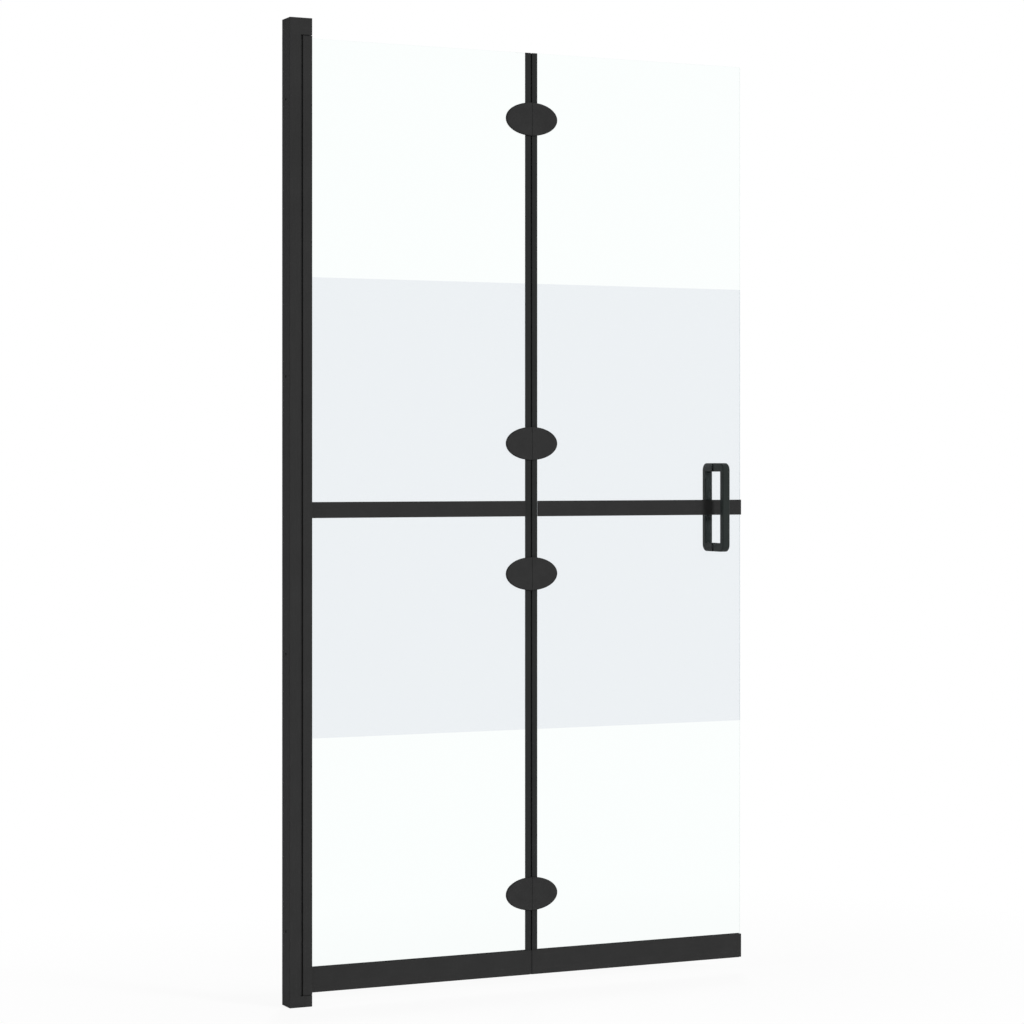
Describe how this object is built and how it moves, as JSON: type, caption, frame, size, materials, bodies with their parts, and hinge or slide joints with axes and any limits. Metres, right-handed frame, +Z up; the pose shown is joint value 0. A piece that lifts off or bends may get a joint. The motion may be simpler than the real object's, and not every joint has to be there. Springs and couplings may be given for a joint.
{
  "type": "folding shower screen",
  "caption": "Black-framed folding shower screen: a wall post, a swinging half-frosted glass pane and a second pane that folds behind it on oval hinges, with bar, bottom rail and D handles.",
  "frame": {"origin": "where the swing axis meets the floor, on the foot face of the bottom bearing block", "axes": "+X along the closed screen away from the wall, +Y to the back (the shower side, where the fold goes), +Z up"},
  "size_m": [1, 0.088, 1.9],
  "materials": {
    "tempered_glass": "clear, with a frosted band over the middle half",
    "channel_coat": "black anodised",
    "profile_coat": "matt black powder coat on aluminium",
    "strip_coat": "matt black",
    "hinge_coat": "matt black coat on cast zinc",
    "handle_coat": "satin black coat",
    "block_coat": "matt black coat on cast zinc",
    "moulded_black": "fine moulded grain",
    "bearing_plastic": "natural acetal",
    "fastener_steel": "stainless",
    "seal_rubber": "matt black"
  },
  "bodies": {
    "wall_post": {"wall_channel": "channel_coat", "post_profile": "profile_coat", "top_bearing_block": "block_coat", "bottom_bearing_block": "block_coat", "block_screws": "fastener_steel", "lock_screws": "fastener_steel", "upper_pivot_bush": "bearing_plastic", "lower_pivot_bush": "bearing_plastic"},
    "inner_panel": {"pivot_profile": "profile_coat", "upper_end_plug": "moulded_black", "lower_end_plug": "moulded_black", "upper_pivot_pin": "fastener_steel", "lower_pivot_pin": "fastener_steel", "glazing_gasket": "seal_rubber", "inner_glass": "tempered_glass", "inner_fold_strip": "strip_coat", "fold_seal": "seal_rubber", "inner_bar": "profile_coat", "inner_bar_tape": "seal_rubber", "inner_rail": "profile_coat", "inner_rail_gasket": "seal_rubber", "inner_rail_seal": "seal_rubber", "inner_rail_caps": "moulded_black", "inner_hinge_screws": "fastener_steel", "inner_hinge_sleeves": "bearing_plastic", "inner_hinge_pads": "seal_rubber", "hinge_pins": "fastener_steel", "hinge_1_inner_plate": "hinge_coat", "hinge_1_inner_leaf": "hinge_coat", "hinge_2_inner_plate": "hinge_coat", "hinge_2_inner_leaf": "hinge_coat", "hinge_3_inner_plate": "hinge_coat", "hinge_3_inner_leaf": "hinge_coat", "hinge_4_inner_plate": "hinge_coat", "hinge_4_inner_leaf": "hinge_coat"},
    "outer_panel": {"outer_glass": "tempered_glass", "outer_fold_strip": "strip_coat", "outer_bar": "profile_coat", "outer_bar_tape": "seal_rubber", "outer_rail": "profile_coat", "outer_rail_gasket": "seal_rubber", "outer_rail_seal": "seal_rubber", "outer_rail_caps": "moulded_black", "outer_hinge_screws": "fastener_steel", "outer_hinge_sleeves": "bearing_plastic", "outer_hinge_pads": "seal_rubber", "hinge_bushes": "bearing_plastic", "front_handle": "handle_coat", "back_handle": "handle_coat", "handle_studs": "fastener_steel", "handle_washers": "seal_rubber", "hinge_1_outer_plate": "hinge_coat", "hinge_1_outer_leaf": "hinge_coat", "hinge_2_outer_plate": "hinge_coat", "hinge_2_outer_leaf": "hinge_coat", "hinge_3_outer_plate": "hinge_coat", "hinge_3_outer_leaf": "hinge_coat", "hinge_4_outer_plate": "hinge_coat", "hinge_4_outer_leaf": "hinge_coat"}
  },
  "joints": [
    {"name": "swing", "type": "hinge", "parent": "wall_post", "child": "inner_panel", "pos_m": [0, 0, 0], "axis": [0, 0, 1], "range_deg": [-90, 0]},
    {"name": "fold", "type": "hinge", "parent": "inner_panel", "child": "outer_panel", "pos_m": [0.4852, 0.012, 0], "axis": [0, 0, 1], "range_deg": [0, 175]}
  ]
}
